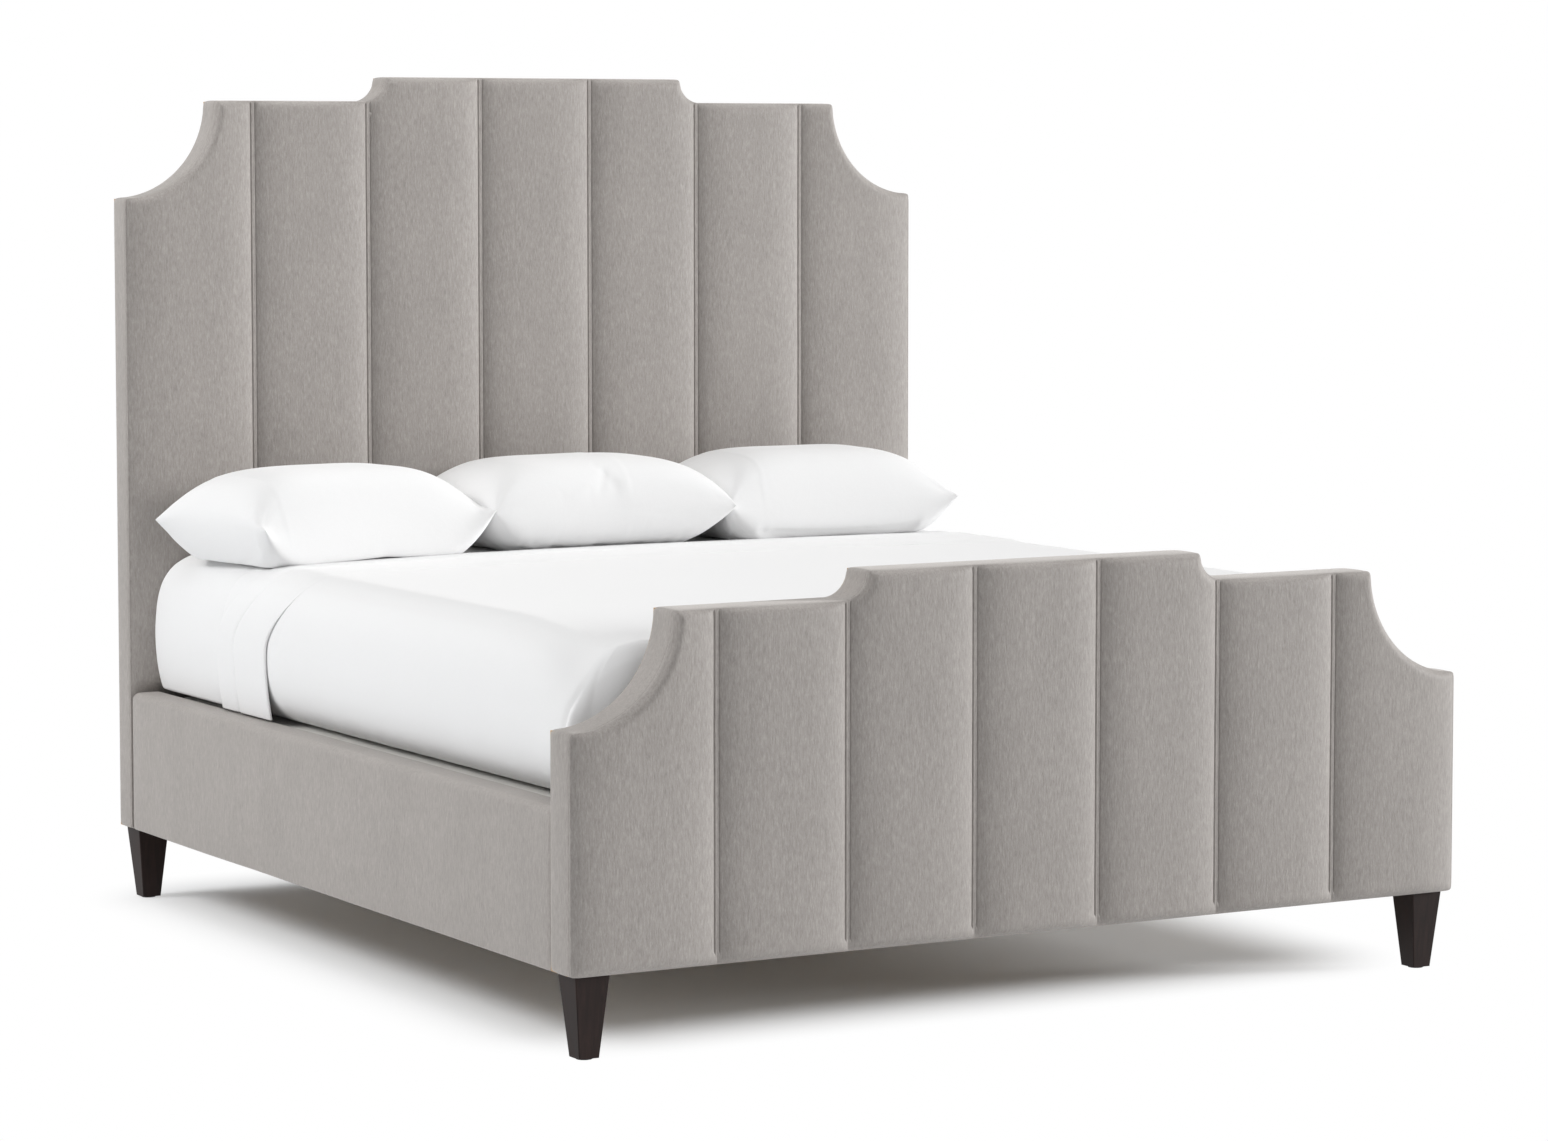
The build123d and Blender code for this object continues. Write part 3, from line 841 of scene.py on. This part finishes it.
def curve_normals(curve):
    """Directions square to a curve, to its left."""
    run = np.gradient(curve, axis=0)
    run /= np.linalg.norm(run, axis=1)[:, None]
    return np.column_stack([-run[:, 1], run[:, 0]])


def rectangle_path(x0, x1, y0, y1, radii, side_steps, end_steps, open_head=False):
    """Round-cornered rectangle as points and outward directions, from the head's left side by the foot.

    radii are those of the foot and head corners. open_head leaves out the head side.
    """
    points, outward = [], []
    foot, head = radii

    def straight(start, end, direction, steps):
        for t in np.linspace(0, 1, steps + 1):
            points.append(np.array(start) + (np.array(end) - np.array(start)) * t)
            outward.append(np.array(direction, float))

    def corner(centre, start, radius):
        for t in np.linspace(0, math.pi / 2, plan_corner_steps + 1)[1:-1]:
            direction = np.array((math.cos(start + t), math.sin(start + t)))
            points.append(np.array(centre) + radius * direction)
            outward.append(direction)

    top = y1 if open_head else y1 - head
    straight((x0, top), (x0, y0 + foot), (-1, 0), side_steps)
    corner((x0 + foot, y0 + foot), math.pi, foot)
    straight((x0 + foot, y0), (x1 - foot, y0), (0, -1), end_steps)
    corner((x1 - foot, y0 + foot), 1.5 * math.pi, foot)
    straight((x1, y0 + foot), (x1, top), (1, 0), side_steps)
    if not open_head:
        corner((x1 - head, y1 - head), 0.0, head)
        straight((x1 - head, y1), (x0 + head, y1), (0, 1), end_steps)
        corner((x0 + head, y1 - head), 0.5 * math.pi, head)
    return np.array(points), np.array(outward)


def panel_points(loop, spacing):
    """Grid points inside a loop, clear of its edge."""
    low, high = loop.min(axis=0) + spacing, loop.max(axis=0) - spacing
    xs = np.linspace(low[0], high[0], int((high[0] - low[0]) / spacing))
    ys = np.linspace(low[1], high[1], int((high[1] - low[1]) / spacing))
    grid = grid_points(xs, ys)
    nearest = np.array([np.min(np.sum((loop - p) ** 2, axis=1)) for p in grid])
    return grid[nearest > (panel_edge_share * spacing) ** 2]


mattress_low, mattress_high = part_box("mattress")
bed_middle = (mattress_low.y + mattress_high.y) / 2
widest = max(out for out, z in shoulder)
foot_edge = mattress_low.y - foot_reach + foot_share * widest
head_edge = mattress_high.y + head_reach - head_share * widest
tucked_curve = smooth_curve(tucked_section, tucked_points)
tucked_normals = curve_normals(tucked_curve)
hanging_curve = smooth_curve(hanging_section, hanging_points)


def crown_height(x, y):
    """The mattress rises a little towards its middle."""
    share = np.clip(1 - (np.abs(x) / top_panel_half) ** 2, 0, 1)
    share *= np.clip(1 - (2 * np.abs(y - bed_middle) / (head_edge - foot_edge)) ** 2, 0, 1)
    return bed_crown * share


def sink_foot(places):
    """Lowers the top of the made bed towards its foot, and most at the two foot corners."""
    sunk = foot_droop * smoothstep(-places[:, 1], *foot_droop_span)
    across = (np.abs(places[:, 0]) - corner_droop_place[0]) / corner_droop_reach[0]
    along = (-places[:, 1] - corner_droop_place[1]) / corner_droop_reach[1]
    sunk += corner_droop * np.exp(-(across**2) - along**2)
    places[:, 2] -= sunk * smoothstep(places[:, 2], *droop_heights)


def wrinkle(places, depth):
    """Slack of a sheet: broad waves and a few sharper folds."""
    broad = soft_noise(places, broad_grain, seed=21)
    sharp = 1 - np.abs(soft_noise(places, sharp_grain, seed=23))
    return depth * (broad_slack * broad + sharp_slack * sharp**3)


def bed_ring(out, side_steps, end_steps, open_head=None):
    """The made bed's plan at a height where its side stands out this far from the top panel's edge.

    open_head is where a sheet ends that doesn't reach round the head.
    """
    top = head_edge + head_share * out if open_head is None else open_head
    return rectangle_path(
        -top_panel_half - out,
        top_panel_half + out,
        foot_edge - foot_share * out,
        top,
        (panel_corner + corner_growth * max(out, 0.0), head_corner),
        side_steps,
        end_steps,
        open_head is not None,
    )


def hang_outward(places, outward, out, z):
    """How much further out a sheet hangs at the bed's head end, where nothing tucks it in."""
    at_head = smoothstep(places[:, 1], head_end_start, head_end_start + head_end_ease)
    straight = np.interp(z, hanging_curve[::-1, 1], hanging_curve[::-1, 0])
    hang = head_hang * (at_head * np.abs(outward[:, 0])) * max(straight - out, 0.0)
    return hang * smoothstep(z, *head_hang_heights)


def foot_shape(flat, outward, z):
    """How far the bedding stands out at the foot: tucked in low down, bunched up at the two corners."""
    towards_foot = np.clip(-outward[:, 1], 0.0, 1.0)
    folded = smoothstep(towards_foot, fold_place - fold_ease, fold_place + fold_ease)
    slack = fold_step * folded * (1 - towards_foot**4) * smoothstep(fold_top - z, 0.0, fold_fade)
    slack -= foot_tuck * towards_foot * smoothstep(foot_tuck_top - z, 0.0, foot_tuck_fade)
    across = np.abs(flat[:, 0]) - puff_place[0]
    up = (z - puff_place[1]) / puff_size[1]
    slack += puff_height * folded * np.exp(-((across / puff_size[0]) ** 2) - up**2)
    rolled = bell(across / puff_roll_width) * towards_foot
    return slack - puff_roll * rolled * smoothstep(z, puff_place[1], shoulder[0][1])


def lay_sheet(section, steps, open_head=None):
    """A sheet over the mattress: its top panel and its drop on every side. Returns points and faces.

    open_head is where a sheet ends that doesn't reach round the head.
    """
    rings = []
    for out, z in section:
        flat, outward = bed_ring(out, steps.side_steps, steps.end_steps, open_head)
        places = level(flat, z)
        low_part = smoothstep(slack_top - z, 0.0, slack_fade)
        slack = wrinkle(places, slack_low * low_part + slack_high)
        slack += foot_shape(flat, outward, z)
        if open_head is None:
            slack += hang_outward(places, outward, out, z)
        places[:, :2] += outward * slack[:, None]
        sink_foot(places)
        rings.append(places)
    loop = rings[0][:, :2]
    count = len(loop)
    if open_head is not None:
        first, last = loop[0], loop[-1]
        gaps = int(np.linalg.norm(last - first) / steps.panel_spacing)
        loop = np.vstack([loop, np.linspace(last, first, gaps)[1:-1]])
    inside = panel_points(loop, steps.panel_spacing)
    extra = np.vstack([loop[count:], inside])
    top = level(extra, section[0][1] + crown_height(*extra.T))
    top[:, 2] += panel_slack * soft_noise(top, panel_grain, seed=29)
    sink_foot(top)
    base = len(rings) * count
    faces = ring_faces(rings, open_head is None)
    faces += fill(loop, inside, [*range(count), *range(base, base + len(extra))])
    return np.vstack(rings + [top]), faces


def linen_sheet(name, points, faces, thickness, replaced):
    """A cotton sheet on the mattress, with its thickness on the inside and a smooth surface."""
    piece = new_piece(name, points, faces, bed_linen, "bedding", [replaced])
    shell = piece.modifiers.new("thickness", "SOLIDIFY")
    shell.thickness = thickness
    shell.offset = -1.0
    smooth_surface(piece)
    return piece


def make_fitted_sheet():
    section = tucked_curve + sheet_offset * tucked_normals
    section = np.vstack([section, section[-1] + sheet_tuck])
    points, faces = lay_sheet(section, sheet_mesh)
    piece = linen_sheet("fitted_sheet_cloth", points, faces, sheet_thickness, "fitted_sheet")


def make_coverlet():
    end = cuff_hem_side + cuff_width - coverlet_under_cuff
    points, faces = lay_sheet(tucked_curve, coverlet_mesh, end)
    piece = linen_sheet("coverlet_cloth", points, faces, coverlet_thickness, "coverlet")


def make_cuff():
    """The top sheet turned down over the coverlet's end, with its hem towards the foot."""
    right = np.column_stack([hanging_curve[:, 0] + top_panel_half, hanging_curve[:, 1]])
    middle = np.linspace(-top_panel_half, top_panel_half, cuff_top_points)[1:-1]
    flat = np.column_stack([middle, np.full(len(middle), hanging_curve[0, 1])])
    left = right[::-1] * (-1, 1)
    base = np.vstack([left, flat, right])
    normals = curve_normals(base)
    on_top = smoothstep(base[:, 1], *cuff_top_heights)
    from_middle = (np.abs(base[:, 0]) / top_panel_half) ** 2
    hem_top = cuff_hem_middle + (cuff_hem_top - cuff_hem_middle) * from_middle
    hem = cuff_hem_side + (hem_top - cuff_hem_side) * on_top
    stations = cuff_hem_roll + [(along, 1.0) for along in cuff_hem_run]
    stations += [(cuff_stitch + step, share) for step, share in cuff_stitch_relief]
    stations += [(along, cuff_fold_run_share) for along in cuff_fold_run]
    stations += [(cuff_width - step, share) for step, share in cuff_fold_roll]
    rows = []
    for along, share in stations:
        y = hem + along
        places = upright(base, y)
        places[:, 2] += np.where(np.abs(base[:, 0]) < top_panel_half, crown_height(base[:, 0], y), 0.0)
        rise = smoothstep(along, 0.0, cuff_top_ramp) * (cuff_top_lift + cuff_top_sink) - cuff_top_sink
        on_side = cuff_side_lift * share
        over_top = rise * share if share > 0 else on_side
        wave = wrinkle(places, cuff_slack) * (1 if share > 0 else 0)
        lift = on_side + (over_top - on_side) * on_top + wave
        rows.append(places + upright(normals * lift[:, None], 0.0))
    faces = ring_faces(rows, closed=False)
    piece = linen_sheet("top_sheet_cuff", np.vstack(rows), faces, cuff_thickness, "top_sheet")


def ring_block(name, rings, body, replaced):
    """A closed block of stacked rings with equal point counts, with a flat panel below and above."""
    points = np.vstack(rings)
    count = len(rings[0])
    faces = ring_faces(rings)
    for start in (0, len(points) - count):
        faces += fill(points[start : start + count, :2], [], range(start, start + count))
    piece = new_piece(name, points, faces, bedding_ticking, body, replaced)


def make_mattress():
    """The mattress, which follows the form of its sheets from inside."""
    section = tucked_curve + block_offset * tucked_normals
    section = np.vstack([section[0] - (block_panel, 0.0), section])
    section[-1, 1] = mattress_low.z
    rings = []
    for out, z in section:
        flat, outward = bed_ring(out, block_steps, block_steps)
        share = np.where(outward[:, 1] < 0, foot_share, head_share)
        inside = block_offset * (1 - share) * np.abs(outward[:, 1])
        flat = flat + outward * (foot_shape(flat, outward, z) + inside)[:, None]
        places = level(flat, z)
        sink_foot(places)
        rings.append(places)
    ring_block("mattress_block", rings, "bedding", ["mattress"])


def spring_section(bottom, top):
    """Upright section of a box spring: flat below and above, a tape along both edges, a soft side."""

    def tape(height, turns):
        along = spring_reach - tape_radius
        return [(along + tape_radius * math.cos(t), height + tape_radius * math.sin(t)) for t in turns]

    lower = [(spring_reach - inward, bottom + rise) for inward, rise in spring_rim]
    upper = [(spring_reach - inward, top - rise) for inward, rise in reversed(spring_rim)]
    side = []
    for t in spring_side_places:
        height = bottom + spring_side_start + (top - bottom - 2 * spring_side_start) * t
        swelled = spring_side_swell * math.sin(math.pi * t)
        side.append((spring_reach - spring_side_inset + swelled, height))
    keys = [(0.0, bottom)] + lower + tape(bottom + tape_height, tape_turns) + side
    return keys + tape(top - tape_height, upper_tape_turns) + upper + [(0.0, top)]


def make_box_springs():
    low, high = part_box("box_springs")
    section = spring_section(low.z, high.z)
    foot, head = low.y + spring_inset, high.y - spring_inset
    for side, x0, x1 in (("left", low.x, -spring_half_gap), ("right", spring_half_gap, high.x)):
        ends = (x0 + spring_inset, x1 - spring_inset, foot, head)
        path, outward = rectangle_path(*ends, (spring_corner, spring_corner), *spring_steps)
        rings = [level(path + outward * out, z) for out, z in section]
        ring_block(f"{side}_box_spring", rings, "box_spring", ["box_springs"] if side == "left" else [])


make_mattress()
make_box_springs()
make_fitted_sheet()
make_coverlet()
make_cuff()


# Pillows


def spread(count):
    """Places from -1 to 1, closer together near the ends."""
    t = np.linspace(-1, 1, count + 1)
    return pillow_cells_even * t + (1 - pillow_cells_even) * np.sin(t * math.pi / 2)


def pillow_shell(pillow, height):
    """A filled pillow as points, their places on the flat cut, and faces. Its bottom is pressed flat."""
    across, along = pillow_cells
    u, v = grid_points(spread(across), spread(along)).T
    blunt = 1 - pillow_corner * (np.clip(-u, 0, 1) * np.clip(-v, 0, 1)) ** 4
    x = pillow_half[0] * u * (1 - pillow_waist[0] * (1 - v**2) * np.abs(u)) * blunt
    x += pillow_reach * np.clip(u, 0, 1) ** 2
    y = pillow_half[1] * v * (1 - pillow_waist[1] * (1 - u**2) * np.abs(v)) * blunt
    full = np.clip(1 - np.abs(u) ** pillow_fullness[0], 0, 1)
    full = (full * np.clip(1 - np.abs(v) ** pillow_fullness[1], 0, 1)) ** pillow_bluntness
    front = smoothstep(-v, pillow_front_start, 1.0) * (1 - np.abs(u) ** 5)
    seam = pillow_seam_height - pillow.front_drop * front
    seam += pillow.corner_rise * np.clip(u, 0, 1) ** 3 * np.abs(v) ** 3
    top = seam + (height - seam) * full
    hang = seam * (1 - pillow_press * full)
    bottom = 0.5 * (hang + np.sqrt(hang**2 + pillow_press_blend**2))
    on_seam = np.maximum(np.abs(u), np.abs(v)) > pillow_seam_from
    count = len(u)
    under = np.where(on_seam, np.arange(count), count - 1 + np.cumsum(~on_seam))
    points = np.vstack([np.column_stack([x, y, top]), np.column_stack([x, y, bottom])[~on_seam]])
    sides = [np.column_stack([u, v, np.full(count, side)]) for side in (1.0, -1.0)]
    flat = np.vstack([sides[0], sides[1][~on_seam]])
    faces = []
    for j in range(along):
        for i in range(across):
            a = j * (across + 1) + i
            quad = (a, a + 1, a + across + 2, a + across + 1)
            faces.append(quad)
            faces.append(tuple(int(under[k]) for k in reversed(quad)))
    return points, flat, faces


def inflate(piece, seed):
    """Lets the sewn case swell over its filling, and keeps the shape it takes."""
    before = np.array([v.co for v in piece.data.vertices])
    cloth = piece.modifiers.new("cloth", "CLOTH")
    for key, value in pillow_cloth.items():
        setattr(cloth.settings, key, value)
    for key, value in pillow_stiffness.items():
        setattr(cloth.settings, f"{key}_stiffness", value)
    cloth.settings.uniform_pressure_force = pillow_pressure + pillow_pressure_step * seed
    cloth.settings.effector_weights.gravity = 0.0
    cloth.collision_settings.use_self_collision = False
    cloth.point_cache.frame_end = pillow_frames
    smooth = piece.modifiers.new("settle", "SMOOTH")
    smooth.factor = 0.5
    smooth.iterations = 4
    scene = bpy.context.scene
    for step in range(1, pillow_frames + 1):
        scene.frame_set(step)
    graph = bpy.context.evaluated_depsgraph_get()
    shaped = bpy.data.meshes.new_from_object(piece.evaluated_get(graph))
    after = np.array([v.co for v in shaped.vertices])
    bpy.data.meshes.remove(shaped)
    piece.modifiers.clear()
    scene.frame_set(1)
    move = after - before
    length = np.linalg.norm(move, axis=1)[:, None]
    shape = before + move * np.minimum(1.0, pillow_swell_cap / np.maximum(length, 1e-9))
    shape[:, 2] -= shape[:, 2].min()
    return shape * np.ptp(before, axis=0) / np.ptp(shape, axis=0)


def case_relief(flat, seed, creases):
    """Small folds of a pillow case: pleats that run out from its corners, slack, and pressed creases."""
    u, v, side = flat.T
    x, y = u * pillow_half[0], v * pillow_half[1]
    relief = np.zeros(len(u))
    for corner_u in (-1, 1):
        for corner_v in (-1, 1):
            dx, dy = pillow_half[0] - corner_u * x, pillow_half[1] - corner_v * y
            distance = np.hypot(dx, dy)
            places = np.column_stack([np.arctan2(dy, dx), distance, side]) * pleat_grain
            places[:, 2] += corner_u + 3 * corner_v
            pleat = soft_noise(places, 1.0, seed=41 + seed)
            pleat += fine_pleat_share * soft_noise(places * fine_pleat_grain, 1.0, seed=47 + seed)
            fading = np.exp(-distance / pleat_reach) * smoothstep(distance, *pleat_start)
            relief += pleat_depth * pleat * fading
    places = np.column_stack([x, y, case_layer_gap * side])
    relief += case_slack * soft_noise(places, case_grain, seed=53 + seed)
    for place, sign in creases:
        wander = crease_wander * np.sin(y * crease_wander_rate + seed)
        offset = (x - place * pillow_half[0] - wander) / crease_width
        step = crease_step * np.tanh(offset) * np.exp(-np.abs(offset) / crease_step_reach)
        line = sign * bell(offset) + step
        relief -= crease_depth * line * np.where(side > 0, 1.0, crease_under_share)
    edge = np.minimum(pillow_half[0] - np.abs(x), pillow_half[1] - np.abs(y))
    return relief * smoothstep(edge, 0.0, case_edge)


def move_points(piece, places):
    piece.data.vertices.foreach_set("co", places.ravel())
    piece.data.update()


def make_pillow(body, pillow, seed):
    low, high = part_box(body)
    points, flat, faces = pillow_shell(pillow, high.z - low.z + pillow_overfill)
    piece = new_piece(f"{body}_case", points, faces, bed_linen, body, [body])
    shape = inflate(piece, seed)
    move_points(piece, shape)
    normals = np.array([v.normal for v in piece.data.vertices])
    shape = shape + normals * case_relief(flat, seed, pillow.creases)[:, None]
    shape[:, 2] = np.maximum(shape[:, 2], 0.0)
    turn = math.radians(pillow.turn)
    x = shape[:, 0] * math.cos(turn) - shape[:, 1] * math.sin(turn)
    y = shape[:, 0] * math.sin(turn) + shape[:, 1] * math.cos(turn)
    centre = (low + high) / 2
    move_points(piece, np.column_stack([x + centre.x, y + centre.y, shape[:, 2] + low.z]))
    smooth_surface(piece)


for order, (pillow_side, each_pillow) in enumerate(pillows.items()):
    make_pillow(f"{pillow_side}_pillow", each_pillow, order)


# Floor, light and camera


def show_where_seen(tree, share, lit, plain, output):
    """Shows the plain shader on rays that see the background, by share, and the lit one elsewhere."""
    path = add_node(tree, "ShaderNodeLightPath", {})
    seen = path.outputs["Is Camera Ray"]
    for name in ("Is Glossy Ray", "Is Transmission Ray"):
        either = {0: seen, 1: path.outputs[name]}
        seen = add_node(tree, "ShaderNodeMath", either, operation="MAXIMUM").outputs[0]
    shown = add_node(tree, "ShaderNodeMath", {0: share, 1: seen}, operation="MULTIPLY").outputs[0]
    mixer = add_node(tree, "ShaderNodeMixShader", {0: shown, 1: lit, 2: plain})
    tree.links.new(mixer.outputs["Shader"], tree.nodes[output].inputs["Surface"])


def backdrop_floor():
    """A white floor that holds the shadow near the bed and fades to plain white further off."""
    mesh = bpy.data.meshes.new("floor")
    corners = [(x * floor_half, y * floor_half, 0) for x, y in ((-1, -1), (1, -1), (1, 1), (-1, 1))]
    mesh.from_pydata(corners, [], [(0, 1, 2, 3)])
    constants = {"Roughness": 0.9, "Base Color": floor_colour, "Specular IOR Level": 0.0}
    made = Surface("studio_floor", constants)
    middle = (-shadow_middle[0], -shadow_middle[1], 0.0)
    place = made.node("ShaderNodeMapping", {"Vector": made.place, "Location": middle}).outputs["Vector"]
    outside = {"ABSOLUTE": {}, "SUBTRACT": {1: (*shadow_half, 0.0)}, "MAXIMUM": {}}
    for operation, other in outside.items():
        beyond = made.node("ShaderNodeVectorMath", {0: place, **other}, operation=operation)
        place = beyond.outputs["Vector"]
    distance = made.node("ShaderNodeVectorMath", {0: place}, operation="LENGTH").outputs["Value"]
    fade = {"Value": distance, "From Max": shadow_fade}
    far = made.node("ShaderNodeMapRange", fade, interpolation_type="SMOOTHSTEP").outputs["Result"]
    glow = made.node("ShaderNodeEmission", {}).outputs["Emission"]
    show_where_seen(made.tree, far, made.shader.outputs["BSDF"], glow, "Material Output")
    mesh.materials.append(made.material)
    place_object("floor", mesh)


def studio_world():
    """Even soft light all round, seen as plain white."""
    world = bpy.data.worlds.new("studio")
    world.use_nodes = True
    tree = world.node_tree
    lit = tree.nodes["Background"]
    lit.inputs["Color"].default_value = white
    lit.inputs["Strength"].default_value = world_level
    plain = add_node(tree, "ShaderNodeBackground", {"Color": white})
    show_where_seen(tree, 1.0, lit.outputs["Background"], plain.outputs["Background"], "World Output")
    bpy.context.scene.world = world


def soft_light(name, lamp):
    light = bpy.data.lights.new(name, "AREA")
    light.shape = "DISK"
    light.size = lamp.size
    light.energy = lamp.power
    holder = place_object(name, light)
    holder.visible_camera = False
    holder.location = lamp.place
    sight = Vector(lamp.aim) - Vector(lamp.place)
    holder.rotation_euler = sight.to_track_quat("-Z", "Y").to_euler()


def photo_camera():
    lens = bpy.data.cameras.new("camera")
    lens.sensor_width = sensor_width
    lens.lens = sensor_width * focal_pixels / photo_width
    lens.shift_y = (principal_row - photo_height / 2) / photo_width
    lens.clip_end = sight_length
    camera = place_object("camera", lens)
    camera.location = camera_place
    camera.rotation_euler = (math.radians(90 + camera_pitch), 0.0, math.radians(camera_yaw))
    bpy.context.scene.camera = camera


backdrop_floor()
studio_world()
for lamp_name, each_lamp in lamps.items():
    soft_light(lamp_name, each_lamp)
photo_camera()
bpy.context.scene.view_settings.view_transform = "Standard"
